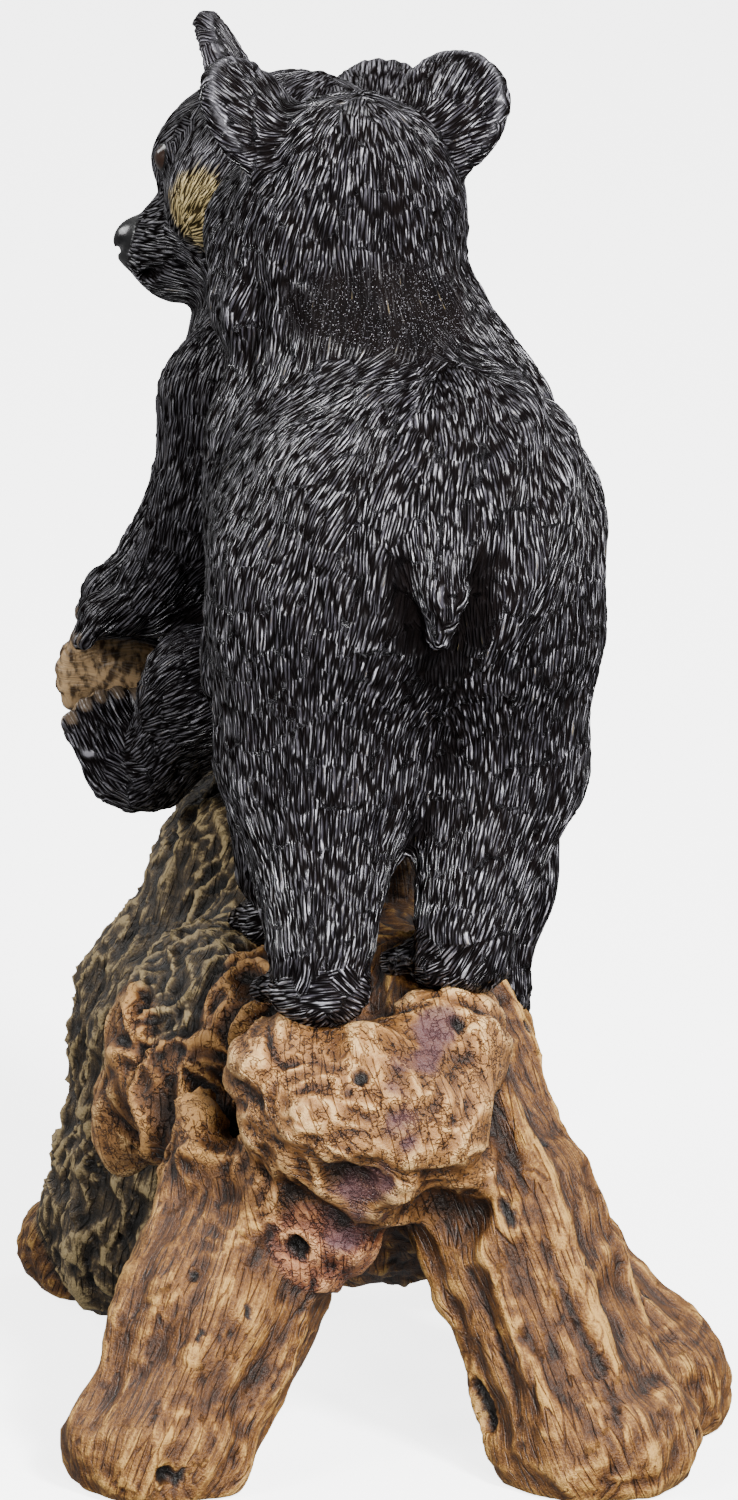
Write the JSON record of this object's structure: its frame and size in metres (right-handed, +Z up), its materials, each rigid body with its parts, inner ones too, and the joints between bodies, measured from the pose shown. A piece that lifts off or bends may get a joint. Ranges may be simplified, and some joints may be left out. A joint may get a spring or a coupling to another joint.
{
  "type": "bear cub sculpture",
  "caption": "Painted resin sculpture of black bear cubs: one stands with its head on the nape of a sitting one, on a gnarled tree stump with root feet.",
  "frame": {"origin": "on the ground, under the middle of the whole sculpture's box", "axes": "+Z up; +X to the right and +Y away for someone who looks at the standing cub's back, as in the picture"},
  "size_m": [0.252, 0.306, 0.4711],
  "materials": {
    "painted_wood_resin": "cast resin carved as wood and bark, stained tan and brown, satin",
    "painted_fur_resin": "cast resin tooled as fur, painted black, with a satin gloss and grey on the ridges"
  },
  "bodies": {
    "root": {"tree_stump": "painted_wood_resin", "sitting_cub": "painted_fur_resin", "standing_cub": "painted_fur_resin"}
  },
  "joints": []
}
